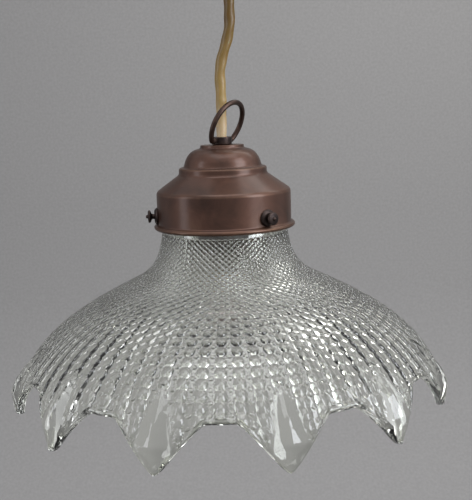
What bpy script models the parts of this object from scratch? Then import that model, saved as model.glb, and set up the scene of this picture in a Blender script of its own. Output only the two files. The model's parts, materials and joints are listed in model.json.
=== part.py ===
"""Pendant ceiling light: a pressed-glass shade with twelve spear points, held by three thumbscrews in a spun
brass gallery, which hangs on its flex from a small ceiling rose.

Metres, +Z up. The origin is on the lamp's axis at the ceiling, and the front of the lamp faces -Y. Heights on
the lamp are measured from the plane of the gallery's rim, and heights in the rose from the ceiling.
"""

from math import atan2, cos, pi, radians, sin

import bmesh
import bpy
from mathutils import Vector
from mathutils.geometry import interpolate_bezier

MM = 0.001

# Layout
RIM_Z = -186 * MM  # the gallery's rim, from the ceiling
ROSE_X = 7.2 * MM  # the flex has a set kink, so the rose stands this far beside the lamp's axis
FIT_GAP = 0.3 * MM  # between pieces that touch

# Flex
FLEX_RADIUS = 3.4 * MM
CORE_RADIUS = 1.1 * MM
FLEX_BORE = 3.8 * MM  # the hole that the flex passes through, in the grip and in the collar

# Gallery, a standard holder for a three and a quarter inch fitter
GALLERY_RADIUS = 42.2 * MM
STEM_RADIUS = 4.9 * MM
STEM_HOLE = 5.4 * MM

# Thumbscrews
SCREW_AZIMUTHS = (radians(38), radians(158), radians(-82))
SCREW_HEIGHT = 7.1 * MM
SCREW_HOLE = 1.95 * MM

# Collar and bail
COLLAR_RADIUS = 6.25 * MM
COLLAR_TOP = 54.9 * MM
BAIL_WIRE = 1.5 * MM
BAIL_LOOP = 15.1 * MM  # radius of the loop, to the middle of the wire
BAIL_RISE = 10.4 * MM  # the loop's centre above its pins
BAIL_PIVOT = 52.6 * MM
BAIL_PIN = 1.1 * MM
BAIL_TURN = radians(57)  # the pins' direction in plan, from +X
BAIL_LEAN = radians(24.6)

# Shade
TIP_COUNT = 12
TIP_PHASE = radians(13.2)  # azimuth of one tip
GLASS_WALL = 4.0 * MM
SHADE_STEPS = 33  # points along each curve of its outline
TIP_DROP = 26.8 * MM  # how far a tip hangs below the edge between two tips
TONGUE_HALF = radians(10.5)
BOSS_HEIGHT = 3.8 * MM
BOSS_TOP = -70.0 * MM
BOSS_CREASE = -95.5 * MM
BOSS_END = -110.0 * MM

# Lampholder, a plain E27
HOLDER_RADIUS = 17.6 * MM
SHELL_RADIUS = 14.0 * MM
TERMINAL_OFFSET = 10.5 * MM
CORE_HOLE_OFFSET = 5.0 * MM

# Rose
PLATE_RADIUS = 41.8 * MM
PLATE_THICKNESS = 2.2 * MM
COVER_RADIUS = 43.5 * MM
COVER_SCREW_Z = -8.0 * MM
GRIP_MOUTH_Z = -45.0 * MM

SWING_Z = GRIP_MOUTH_Z


def mm(points):
    return [tuple(value * MM for value in point) for point in points]


# Scene, collections and materials

for old in list(bpy.data.objects):
    bpy.data.objects.remove(old)

parts = bpy.data.collections.new("pendant_ceiling_light")
cutters = bpy.data.collections.new("cutters")
bpy.context.scene.collection.children.link(parts)
bpy.context.scene.collection.children.link(cutters)


def linear(channel):
    return channel / 12.92 if channel <= 0.04045 else ((channel + 0.055) / 1.055) ** 2.4


def make_material(name, hex_colour, roughness, metallic=0.0, transmission=0.0):
    material = bpy.data.materials.new(name)
    material.use_nodes = True
    shader = material.node_tree.nodes["Principled BSDF"]
    channels = [linear(int(hex_colour[i : i + 2], 16) / 255) for i in (0, 2, 4)]
    shader.inputs["Base Color"].default_value = (*channels, 1)
    shader.inputs["Roughness"].default_value = roughness
    shader.inputs["Metallic"].default_value = metallic
    shader.inputs["Transmission Weight"].default_value = transmission
    return material


patinated_brass = make_material("patinated_brass", "6b5048", 0.38, 1.0)
blackened_brass = make_material("blackened_brass", "332b2a", 0.42, 1.0)
bright_brass = make_material("bright_brass", "b79a5a", 0.3, 1.0)
zinc_steel = make_material("zinc_steel", "8d9093", 0.4, 1.0)
pressed_glass = make_material("pressed_glass", "e4e9e6", 0.03, 0.0, 1.0)
aged_flex = make_material("aged_flex", "9c7f45", 0.5)
porcelain = make_material("porcelain", "e9e4d8", 0.25)
bakelite = make_material("bakelite", "2c211c", 0.35)
brown_core = make_material("brown_core", "5b3420", 0.45)
blue_core = make_material("blue_core", "27507c", 0.45)


# Frames that the pieces hang from


def make_empty(name, location, parent=None):
    empty = bpy.data.objects.new(name, None)
    parts.objects.link(empty)
    empty.location = location
    empty.parent = parent
    return empty


rose = make_empty("rose_frame", (ROSE_X, 0, 0))
swing = make_empty("swing_frame", (0, 0, SWING_Z))
lamp = make_empty("lamp_frame", (0, 0, RIM_Z - SWING_Z), swing)


# Helpers


def add_object(name, data, material, parent, location=(0, 0, 0)):
    data.materials.append(material)
    obj = bpy.data.objects.new(name, data)
    parts.objects.link(obj)
    obj.parent = parent
    obj.location = location
    return obj


def mesh_from(name, bm):
    bmesh.ops.recalc_face_normals(bm, faces=bm.faces)
    mesh = bpy.data.meshes.new(name)
    bm.to_mesh(mesh)
    bm.free()
    return mesh


def turned(name, outline, material, parent, steps=24, location=(0, 0, 0)):
    """A turned piece. Its outline of (radius, height) runs down the outer side, then closes up the inner side
    or ends on the axis."""
    bm = bmesh.new()
    points = [bm.verts.new((radius, 0, height)) for radius, height in outline]
    for upper, lower in zip(points, points[1:]):
        bm.edges.new((upper, lower))
    if outline[0][0] > 0:
        bm.edges.new((points[-1], points[0]))
    mesh = bpy.data.meshes.new(name)
    bm.to_mesh(mesh)
    bm.free()
    obj = add_object(name, mesh, material, parent, location)
    screw = obj.modifiers.new("turn", "SCREW")
    screw.angle = 2 * pi
    screw.steps = steps
    screw.render_steps = steps
    screw.use_merge_vertices = True
    screw.merge_threshold = 0.00001
    screw.use_smooth_shade = True
    return obj


def bar(start, end, radius, sides=16):
    """A plain round bar between two points, as a bmesh."""
    start, end = Vector(start), Vector(end)
    bm = bmesh.new()
    bmesh.ops.create_cone(
        bm, segments=sides, radius1=radius, radius2=radius, depth=(end - start).length, cap_ends=True
    )
    turn = (end - start).to_track_quat("Z", "Y").to_matrix().to_4x4()
    turn.translation = (start + end) / 2
    bmesh.ops.transform(bm, matrix=turn, verts=bm.verts)
    return bm


def box(low, high):
    """A plain block between two corners, as a bmesh."""
    low, high = Vector(low), Vector(high)
    bm = bmesh.new()
    bmesh.ops.create_cube(bm, size=1)
    bmesh.ops.scale(bm, vec=high - low, verts=bm.verts)
    bmesh.ops.translate(bm, vec=(low + high) / 2, verts=bm.verts)
    return bm


def tool(name, bm, parent):
    """A hidden solid that a Boolean uses."""
    obj = bpy.data.objects.new(name, mesh_from(name, bm))
    cutters.objects.link(obj)
    obj.parent = parent
    obj.hide_render = True
    obj.display_type = "WIRE"
    return obj


def boolean(obj, operand, operation="DIFFERENCE"):
    modifier = obj.modifiers.new(operation.lower(), "BOOLEAN")
    modifier.operation = operation
    modifier.solver = "EXACT"
    modifier.object = operand


def tube(name, points, radius, material, parent, resolution=2):
    """A wire or a cord along a smooth curve through the points."""
    curve = bpy.data.curves.new(name, "CURVE")
    curve.dimensions = "3D"
    curve.bevel_depth = radius
    curve.bevel_resolution = resolution
    curve.use_fill_caps = True
    spline = curve.splines.new("POLY")
    spline.points.add(len(points) - 1)
    for target, point in zip(spline.points, points):
        target.co = (*point, 1)
    return add_object(name, curve, material, parent)


def smooth_route(points, per_span):
    """Points along a smooth curve through the given ones, each span a Bezier with its neighbours' slope."""
    nodes = [Vector(point) for point in points]
    ends = [nodes[0] * 2 - nodes[1], *nodes, nodes[-1] * 2 - nodes[-2]]
    route = []
    for before, start, end, after in zip(ends, ends[1:], ends[2:], ends[3:]):
        leave = start + (end - before) / 6
        arrive = end - (after - start) / 6
        route += interpolate_bezier(start, leave, arrive, end, per_span + 1)[:-1]
    return [*route, nodes[-1]]


def outward(azimuth):
    """The level direction away from the lamp's axis. Azimuth 0 is the front, -Y, and it grows towards +X."""
    return Vector((sin(azimuth), -cos(azimuth), 0))


# Ceiling rose


def ceiling_plate():
    hole = 5.0 * MM
    plate = turned(
        "ceiling_plate",
        [(hole, 0), (PLATE_RADIUS, 0), (PLATE_RADIUS, -PLATE_THICKNESS), (hole, -PLATE_THICKNESS)],
        zinc_steel,
        rose,
        steps=40,
    )
    for side in (-1, 1):
        near, far = sorted((side * 37.4 * MM, side * 40.4 * MM))
        lug = box((near, -5 * MM, -11 * MM), (far, 5 * MM, -1 * MM))
        boolean(plate, tool("plate_lug", lug, rose), "UNION")
        screw_hole = bar((side * 34 * MM, 0, COVER_SCREW_Z), (side * 46 * MM, 0, COVER_SCREW_Z), 1.9 * MM, 12)
        boolean(plate, tool("lug_hole", screw_hole, rose))
        fixing = bar((0, side * 30 * MM, -5 * MM), (0, side * 30 * MM, 2 * MM), 2.5 * MM)
        boolean(plate, tool("fixing_hole", fixing, rose))
    block_hole = bar((4.5 * MM, 15 * MM, -1 * MM), (4.5 * MM, 15 * MM, -5 * MM), 1.7 * MM, 12)
    boolean(plate, tool("block_screw_hole", block_hole, rose))


def rose_cover():
    outer = [(44.8, -0.4), (45.2, -1.2), (COVER_RADIUS / MM, -2.4), (COVER_RADIUS / MM, -10.4), (42.6, -11.8)]
    outer += [(28.4, -20.6), (28.0, -23.8), (25.0, -24.1), (23.2, -28.2), (18.6, -31.6), (12.5, -33.0)]
    outer += [(STEM_HOLE / MM, -33.0)]
    inner = [(STEM_HOLE / MM, -32.0), (12.3, -32.0), (18.0, -30.7), (22.4, -27.5), (24.2, -23.2)]
    inner += [(27.2, -22.9), (27.4, -20.0), (41.9, -11.0), (42.5, -10.0), (42.5, -0.4)]
    cover = turned("rose_cover", mm(outer + inner), patinated_brass, rose, steps=36)
    for side in (-1, 1):
        hole = bar((side * 40 * MM, 0, COVER_SCREW_Z), (side * 46 * MM, 0, COVER_SCREW_Z), 2.0 * MM, 12)
        boolean(cover, tool("cover_screw_hole", hole, rose))


def side_screw(name, base, direction, outline, material, parent, steps=16):
    """A turned screw on a level axis: heights in its outline are distances from base, outwards."""
    screw = turned(name, mm(outline), material, parent, steps, base)
    screw.rotation_euler = direction.to_track_quat("Z", "Y").to_euler()
    return screw


def cover_screws():
    outline = [(0, 3.0), (1.8, 2.6), (3.0, 1.4), (3.2, 0.4), (1.6, 0.4), (1.6, -4.6), (0, -4.6)]
    for name, side in (("cover_screw_left", -1), ("cover_screw_right", 1)):
        base = (side * COVER_RADIUS, 0, COVER_SCREW_Z)
        side_screw(name, base, Vector((side, 0, 0)), outline, blackened_brass, rose)


def cord_grip():
    top = -22.0 * MM
    body = [(FLEX_BORE, top), (STEM_RADIUS, top), (STEM_RADIUS, -33.3 * MM), (7.5 * MM, -33.3 * MM)]
    body += [(7.5 * MM, -36.0 * MM), (6.2 * MM, -36.8 * MM), (6.2 * MM, -42.2 * MM), (4.8 * MM, GRIP_MOUTH_Z)]
    grip = turned("cord_grip", [*body, (FLEX_BORE, GRIP_MOUTH_Z)], patinated_brass, rose)
    hole = bar((3.0 * MM, 0, -39.4 * MM), (8 * MM, 0, -39.4 * MM), 1.5 * MM, 12)
    boolean(grip, tool("grip_screw_hole", hole, rose))
    outline = [(0, 2.5), (1.9, 2.3), (2.4, 1.7), (2.4, 0.4), (1.2, 0.4), (1.2, -2.4), (0, -2.4)]
    side_screw("grip_screw", (6.2 * MM, 0, -39.4 * MM), Vector((1, 0, 0)), outline, blackened_brass, rose, 12)


def hex_nut(name, low, high, across_flats, material, parent):
    nut = bar((0, 0, low), (0, 0, high), across_flats / 2 / cos(pi / 6), 6)
    obj = add_object(name, mesh_from(name, nut), material, parent)
    boolean(obj, tool(f"{name}_bore", bar((0, 0, low - MM), (0, 0, high + MM), 5.2 * MM), parent))
    return obj


def terminal_block():
    """A porcelain block screwed under the plate, with a wire entry and a clamping screw for each core."""
    middle = 15 * MM
    low, high = (-13 * MM, 10 * MM, -13.5 * MM), (13 * MM, 20 * MM, -2.5 * MM)
    block = add_object("terminal_block", mesh_from("terminal_block", box(low, high)), porcelain, rose)
    edge = block.modifiers.new("edge", "BEVEL")
    edge.width = 0.8 * MM
    edge.segments = 1
    fixing_x = 4.5 * MM
    bore = bar((fixing_x, middle, -15 * MM), (fixing_x, middle, -1.5 * MM), 1.7 * MM, 12)
    boolean(block, tool("block_bore", bore, rose))
    fixing = [(0, -1.3), (1.3, -1.3), (1.3, -13.8), (2.6, -13.8), (2.6, -14.8), (1.9, -15.5), (0, -15.6)]
    turned("terminal_block_screw", mm(fixing), zinc_steel, rose, 12, (fixing_x, middle, 0))
    for name, x in (("live", -9 * MM), ("neutral", 9 * MM)):
        entry = bar((x, 8 * MM, -8 * MM), (x, middle, -8 * MM), 1.5 * MM, 12)
        boolean(block, tool(f"{name}_entry", entry, rose))
        well = bar((x, middle, -15 * MM), (x, middle, -9.8 * MM), 1.9 * MM, 12)
        boolean(block, tool(f"{name}_well", well, rose))
        screw = [(0, -10.1), (1.5, -10.1), (1.5, -14.2), (0, -14.2)]
        turned(f"terminal_screw_{name}", mm(screw), bright_brass, rose, 12, (x, middle, 0))


def rose_cores():
    for name, side, material in (("live", -1, brown_core), ("neutral", 1, blue_core)):
        route = [(side * 1.6, 0, -20.0), (side * 2.4, 0.6, -17.4), (side * 5.2, 2.4, -13.0)]
        route += [(side * 8.2, 5.4, -9.2), (side * 9, 9.0, -8.0), (side * 9, 13.0, -8.0)]
        tube(f"rose_core_{name}", smooth_route(mm(route), 2), CORE_RADIUS, material, rose, 1)


# Flex


def flex_cord():
    """From inside the cord grip, past the kink that the flex has set into, down into the lampholder's cap."""
    route = [(7.2, 165.6), (7.2, 153), (7.2, 141), (7.3, 131), (7.1, 123), (5.9, 116), (3.6, 108.5)]
    route += [(1.4, 101), (0.3, 94), (0.3, 87), (0.5, 79), (0.4, 71), (0.1, 63), (0, 55), (0, 45), (0, 34.6)]
    points = [(x, 0, height) for x, height in route]
    tube("flex_cord", smooth_route(mm(points), 1), FLEX_RADIUS, aged_flex, lamp)


# Collar and bail


def ring_collar():
    """The turned collar on the gallery, in one piece with the hollow stem that screws into the lampholder."""
    head = 50.3 * MM
    outline = [(FLEX_BORE, COLLAR_TOP), (5.7 * MM, COLLAR_TOP), (COLLAR_RADIUS, COLLAR_TOP - 0.6 * MM)]
    outline += [(COLLAR_RADIUS, head), (STEM_RADIUS, head), (STEM_RADIUS, 38.5 * MM), (FLEX_BORE, 38.5 * MM)]
    collar = turned("ring_collar", outline, blackened_brass, lamp, steps=32)
    along = Vector((cos(BAIL_TURN), sin(BAIL_TURN), 0)) * 8 * MM
    middle = Vector((0, 0, BAIL_PIVOT))
    boolean(collar, tool("pin_hole", bar(middle - along, middle + along, BAIL_PIN + FIT_GAP), lamp))


def ring_bail():
    """A round wire loop. Its ends turn in to two thin pins that sit in the collar's sides."""
    pivot = make_empty("bail_pivot", (0, 0, BAIL_PIVOT), lamp)
    pivot.rotation_euler = (0, 0, BAIL_TURN)
    foot = radians(43.5)  # where the loop stops, below its own middle
    bends = [(8.0 * MM, 0), (9.6 * MM, 0.1 * MM)]
    steps = 22
    arc = []
    for step in range(steps + 1):
        angle = -foot + (pi + 2 * foot) * step / steps
        arc.append((BAIL_LOOP * cos(angle), BAIL_RISE + BAIL_LOOP * sin(angle)))
    line = [*bends, *arc, *[(-x, z) for x, z in reversed(bends)]]
    curve = tube("ring_bail_wire", [(x, 0, z) for x, z in line], BAIL_WIRE, blackened_brass, pivot, 2)
    depsgraph = bpy.context.evaluated_depsgraph_get()
    mesh = bpy.data.meshes.new_from_object(curve.evaluated_get(depsgraph))
    bm = bmesh.new()
    bm.from_mesh(mesh)
    bmesh.ops.remove_doubles(bm, verts=bm.verts, dist=0.00001)
    bm.to_mesh(mesh)
    bm.free()
    mesh.materials.clear()
    bpy.data.objects.remove(curve)
    bail = add_object("ring_bail", mesh, blackened_brass, pivot)
    bail.rotation_euler = (BAIL_LEAN, 0, 0)
    for side in (-1, 1):
        pin = bar((side * 4.7 * MM, 0, 0), (side * 9 * MM, 0, 0), BAIL_PIN, 12)
        boolean(bail, tool("bail_pin", pin, bail), "UNION")


# Gallery and thumbscrews


def gallery():
    outer = [(13.6, 50.0), (13.6, 48.2), (18.2, 46.7), (21.2, 44.5), (23.4, 41.2), (24.5, 36.3), (27.5, 36.1)]
    outer += [(27.5, 32.0), (41.8, 21.8), (GALLERY_RADIUS / MM, 20.7), (GALLERY_RADIUS / MM, 1.5)]
    outer += [(43.5, 1.3), (44.6, 0.3), (44.4, -1.0), (43.2, -1.8)]
    inner = [(41.9, -1.5), (41.2, -0.3), (41.2, 20.4), (26.5, 31.1), (26.5, 35.2), (23.6, 35.4), (22.4, 40.8)]
    inner += [(20.4, 43.8), (17.7, 45.7), (12.6, 47.4), (12.6, 49.0)]
    hole = [(STEM_HOLE / MM, 49.0), (STEM_HOLE / MM, 50.0)]
    shell = turned("gallery", mm([hole[1], *outer, *inner, hole[0]]), patinated_brass, lamp, steps=40)
    for azimuth in SCREW_AZIMUTHS:
        start = outward(azimuth) * 38 * MM + Vector((0, 0, SCREW_HEIGHT))
        end = outward(azimuth) * 45 * MM + Vector((0, 0, SCREW_HEIGHT))
        boolean(shell, tool("screw_hole", bar(start, end, SCREW_HOLE, 12), lamp))


def thumbscrews():
    boss = [(1.95, 1.9), (3.6, 1.9), (4.7, 1.3), (5.3, 0.5), (5.3, 0.35), (1.95, 0.35)]
    screw = [(0, 8.4), (1.1, 8.2), (1.5, 7.5), (2.9, 7.2), (4.0, 6.4), (4.1, 5.6), (3.5, 4.9), (1.9, 4.3)]
    screw += [(1.6, 3.4), (1.6, -3.6), (1.1, -3.9), (0, -3.9)]
    for number, azimuth in enumerate(SCREW_AZIMUTHS, 1):
        base = outward(azimuth) * GALLERY_RADIUS + Vector((0, 0, SCREW_HEIGHT))
        side_screw(f"screw_boss_{number}", base, outward(azimuth), boss, patinated_brass, lamp, 20)
        side_screw(f"thumbscrew_{number}", base, outward(azimuth), screw, blackened_brass, lamp, 16)


# Lampholder


def holder_cap():
    outline = [(5.3, 44.9), (7.6, 44.9), (7.6, 39.2), (9.8, 37.6), (15.6, 33.8), (17.6, 31.2), (17.6, 17.0)]
    outline += [(16.3, 17.0), (16.3, 30.6), (14.8, 32.6), (9.0, 36.2), (5.3, 36.2)]
    turned("holder_cap", mm(outline), bright_brass, lamp, steps=28)


def holder_core():
    """The porcelain core that carries the terminals, with each core of the flex in its hole."""
    outline = [(0, 25.5), (15.8, 25.5), (15.8, 22.3), (14.1, 22.3), (14.1, 12.0), (0, 12.0)]
    core = turned("holder_core", mm(outline), porcelain, lamp, steps=28)
    screw = [(0, 27.7), (1.8, 27.5), (2.4, 26.9), (2.4, 25.9), (1.25, 25.9), (1.25, 18.6), (0, 18.6)]
    low, high = 18 * MM, 27 * MM
    for name, side, material in (("live", -1, brown_core), ("neutral", 1, blue_core)):
        entry_x = side * CORE_HOLE_OFFSET
        screw_x = side * TERMINAL_OFFSET
        entry = bar((entry_x, 0, low), (entry_x, 0, high), 1.5 * MM, 12)
        boolean(core, tool(f"{name}_core_hole", entry, lamp))
        well = bar((screw_x, 0, low), (screw_x, 0, high), 1.6 * MM, 12)
        boolean(core, tool(f"{name}_screw_hole", well, lamp))
        turned(f"holder_screw_{name}", mm(screw), zinc_steel, lamp, 12, (screw_x, 0, 0))
        route = [(1.6, 34.2), (2.2, 32.0), (4.2, 28.6), (5, 25.5), (5, 19)]
        points = [(side * x, 0, height) for x, height in route]
        tube(f"lamp_core_{name}", smooth_route(mm(points), 2), CORE_RADIUS, material, lamp, 1)


def holder_screw_shell():
    radius = SHELL_RADIUS / MM
    outline = [(8.0, 11.7), (radius, 11.7), (radius, -13.0), (13.4, -13.0), (13.4, 11.1), (8.0, 11.1)]
    turned("holder_screw_shell", mm(outline), bright_brass, lamp, steps=28)


def holder_contact():
    """The sprung tongue that meets the middle of the bulb's cap."""
    curve = bpy.data.curves.new("holder_contact", "CURVE")
    curve.dimensions = "2D"
    curve.fill_mode = "BOTH"
    curve.extrude = 2.4 * MM
    outline = [(-6.5, 11.7), (-6.5, 11.2), (-2.0, 11.2), (1.2, 8.4), (4.6, 7.6), (4.8, 8.1), (1.6, 8.9)]
    outline += [(-1.7, 11.7)]
    spline = curve.splines.new("POLY")
    spline.points.add(len(outline) - 1)
    for target, (x, height) in zip(spline.points, mm(outline)):
        target.co = (x, height, 0, 1)
    spline.use_cyclic_u = True
    contact = add_object("holder_contact", curve, bright_brass, lamp)
    contact.rotation_euler = (pi / 2, 0, 0)


def holder_skirt():
    radius = HOLDER_RADIUS / MM
    outline = [(14.7, 21.9), (15.9, 21.9), (15.9, 16.7), (radius, 16.7), (radius, -14.6), (16.8, -16.0)]
    outline += [(14.9, -16.0), (14.7, -15.4)]
    turned("holder_skirt", mm(outline), bakelite, lamp, steps=28)


# Glass shade


def shade_outline():
    """The glass's outer side below the neck, as (radius, height) points: a tight flare, then a long bell."""
    curves = [
        [(39.0, 1.0), (41.4, -19.9), (45.2, -27.1), (60.5, -34.6)],
        [(60.5, -34.6), (101.2, -54.5), (114.5, -64.3), (128.6, -84.4)],
        [(128.6, -84.4), (131.5, -89.0), (135.0, -98.0), (135.2, -111.5)],
    ]
    line = []
    for curve in curves:
        line += interpolate_bezier(*(Vector((*point, 0)) for point in mm(curve)), SHADE_STEPS)
    return [(point.x, point.y) for point in line]


SHADE_LINE = shade_outline()


def shade_radius(height):
    for (upper_r, upper_z), (lower_r, lower_z) in zip(SHADE_LINE, SHADE_LINE[1:]):
        if upper_z >= height >= lower_z:
            return upper_r + (lower_r - upper_r) * (upper_z - height) / (upper_z - lower_z)
    return SHADE_LINE[-1][0]


def edge_height(offset):
    """Height of the shade's lower edge, at an angle from the nearest tip."""
    rise = max(0, 1 - abs(offset) / TONGUE_HALF)
    return -84.4 * MM - TIP_DROP * rise**1.2


def boss_height(offset, height):
    """How far the spear's faceted boss stands out of the tongue that carries it."""
    if height > BOSS_CREASE:
        along = (BOSS_TOP - height) / (BOSS_TOP - BOSS_CREASE)
    else:
        along = (height - BOSS_END) / (BOSS_CREASE - BOSS_END)
    along = min(max(along, 0), 1)
    across = 1 - 0.45 * abs(offset) / radians(4.2) if abs(offset) < radians(5) else 0
    return BOSS_HEIGHT * along * across


def shade_column(offset):
    """The shade's closed section at an angle from the nearest tip: down the outside, then up the inside."""
    heights = [height * MM for height in (-9, -21, -34, -50, -66)]
    edge = edge_height(offset)
    drop = edge - heights[-1]
    heights += [heights[-1] + drop * part for part in (0.33, 0.653, 1)]
    lip = mm([(34.6, 15.2), (39.6, 15.2), (40.2, 14.2), (40.2, 11.4), (38.0, 9.8), (38.0, 1.6)])
    outside = [(shade_radius(height) + boss_height(offset, height), height) for height in heights]
    inside = []
    for height in heights:
        step = 0.5 * MM
        slope = atan2(step * 2, shade_radius(height - step) - shade_radius(height + step))
        radius = shade_radius(height) - GLASS_WALL * sin(slope)
        inside.append((radius, height - GLASS_WALL * cos(slope)))
    inside[-1] = (inside[-1][0], edge + 0.5 * MM)
    return lip + outside + inside[::-1] + [(34.2 * MM, 0)]


def glass_shade():
    sector = 2 * pi / TIP_COUNT
    offsets = [radians(degrees) for degrees in (-15, -9.5, -5.6, -4.2, 0, 4.2, 5.6, 9.5)]
    bm = bmesh.new()
    loops = []
    for tip in range(TIP_COUNT):
        for offset in offsets:
            direction = outward(TIP_PHASE + tip * sector + offset)
            column = [direction * radius + Vector((0, 0, height)) for radius, height in shade_column(offset)]
            loops.append([bm.verts.new(point) for point in column])
    for left, right in zip(loops, loops[1:] + loops[:1]):
        for upper, lower in zip(range(len(left)), [*range(1, len(left)), 0]):
            bm.faces.new((left[upper], left[lower], right[lower], right[upper]))
    shade = add_object("glass_shade", mesh_from("glass_shade", bm), pressed_glass, lamp)
    shade.data.shade_smooth()
    shade.data.set_sharp_from_angle(angle=radians(30))


ceiling_plate()
rose_cover()
cover_screws()
cord_grip()
hex_nut("cord_grip_nut", -31.7 * MM, -28.5 * MM, 15 * MM, zinc_steel, rose)
terminal_block()
rose_cores()
flex_cord()
ring_collar()
ring_bail()
gallery()
hex_nut("gallery_locknut", 45.3 * MM, 48.7 * MM, 15 * MM, zinc_steel, lamp)
thumbscrews()
holder_cap()
holder_core()
holder_screw_shell()
holder_contact()
holder_skirt()
glass_shade()
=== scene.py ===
"""Looks of a pendant ceiling light: a clear pressed-glass shade with a hobnail pattern and twelve spear
points, held by three thumbscrews in a spun gallery of brown-patinated brass, hanging on its aged flex from a
small ceiling rose.

Metres, +Z up, in the frame. The pieces' own sizes are in millimetres. Heights on the lamp are measured up
from the plane of the gallery's rim, and heights in the rose from the ceiling, so all of those are negative.
"""

import json
from math import cos, pi, radians, sin

import bpy
import numpy as np
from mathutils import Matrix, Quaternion, Vector


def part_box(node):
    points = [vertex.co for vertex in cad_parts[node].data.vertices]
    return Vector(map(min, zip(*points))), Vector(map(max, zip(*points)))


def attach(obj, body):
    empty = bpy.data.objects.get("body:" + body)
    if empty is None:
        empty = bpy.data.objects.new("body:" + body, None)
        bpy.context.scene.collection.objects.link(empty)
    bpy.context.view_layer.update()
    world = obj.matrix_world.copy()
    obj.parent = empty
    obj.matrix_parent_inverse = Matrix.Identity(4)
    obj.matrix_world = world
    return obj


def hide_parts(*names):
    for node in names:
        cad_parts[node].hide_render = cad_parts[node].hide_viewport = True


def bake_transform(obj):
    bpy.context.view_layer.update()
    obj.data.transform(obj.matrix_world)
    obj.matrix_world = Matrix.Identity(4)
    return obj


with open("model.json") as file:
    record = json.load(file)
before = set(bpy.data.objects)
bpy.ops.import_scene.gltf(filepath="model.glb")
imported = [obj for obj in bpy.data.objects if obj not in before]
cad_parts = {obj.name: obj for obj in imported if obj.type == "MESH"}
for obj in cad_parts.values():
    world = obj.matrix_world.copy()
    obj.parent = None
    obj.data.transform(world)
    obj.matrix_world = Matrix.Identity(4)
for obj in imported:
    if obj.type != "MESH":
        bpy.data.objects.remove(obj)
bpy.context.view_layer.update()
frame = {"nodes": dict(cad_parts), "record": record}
for loaded in bpy.context.selected_objects:
    loaded.select_set(False)

MM = 0.001
BEAD_BELOW_RIM = 1.8  # how far the gallery's rolled bead reaches below the plane of its rim
RIM_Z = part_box("gallery")[0].z / MM + BEAD_BELOW_RIM
rose_low, rose_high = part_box("rose_cover")
ROSE_X = (rose_low.x + rose_high.x) / 2 / MM


# Camera

CAMERA_AT = Vector((6.6, -541.1, 72.6 + RIM_Z)) * MM
CAMERA_AIM = Vector((6.6, 0.0, -16.95 + RIM_Z)) * MM
CAMERA_ROLL = radians(1.89)
CAMERA_LENS = 61.97

camera_data = bpy.data.cameras.new("camera")
camera_data.lens = CAMERA_LENS
camera = bpy.data.objects.new("camera", camera_data)
bpy.context.scene.collection.objects.link(camera)
camera.location = CAMERA_AT
camera.rotation_mode = "QUATERNION"
look = (CAMERA_AIM - CAMERA_AT).to_track_quat("-Z", "Y")
camera.rotation_quaternion = look @ Quaternion((0, 0, 1), -CAMERA_ROLL)
bpy.context.scene.camera = camera


# Shader tools

# A Mix node's sockets for colours, by place, because their names are shared with those for numbers
MIX_FACTOR, MIX_A, MIX_B, MIX_RESULT = 0, 6, 7, 2
NOISE_SPAN = {"From Min": 0.3, "From Max": 0.7}  # nearly all of a noise lies between these
GRAIN_DEPTH = 0.2 * MM  # the depth of a bump at full strength


def linear(hex_code):
    """A colour written as sRGB hex, made linear."""
    channels = [int(hex_code[i : i + 2], 16) / 255 for i in (0, 2, 4)]
    return (*[c / 12.92 if c <= 0.04045 else ((c + 0.055) / 1.055) ** 2.4 for c in channels], 1.0)


def per_metre(millimetres):
    """A noise's scale, from the size in millimetres of the marks that it draws."""
    return 1 / (millimetres * MM)


def add_node(tree, kind, inputs=(), stops=(), **settings):
    """One shader node with its settings, its values or links by socket, and the stops of a ramp."""
    node = tree.nodes.new(kind)
    for key, value in settings.items():
        setattr(node, key, value)
    for socket, value in dict(inputs).items():
        if isinstance(value, bpy.types.NodeSocket):
            tree.links.new(value, node.inputs[socket])
        else:
            node.inputs[socket].default_value = value
    for place, (position, colour) in enumerate(stops):
        elements = node.color_ramp.elements
        stop = elements[place] if place < len(elements) else elements.new(position)
        stop.position = position
        stop.color = colour
    return node


def new_material(name):
    """An empty material, with its tree, its Principled shader and the place on the object."""
    material = bpy.data.materials.new(name)
    material.use_nodes = True
    tree = material.node_tree
    place = add_node(tree, "ShaderNodeTexCoord").outputs["Object"]
    return material, tree, tree.nodes["Principled BSDF"], place


# Materials


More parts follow.
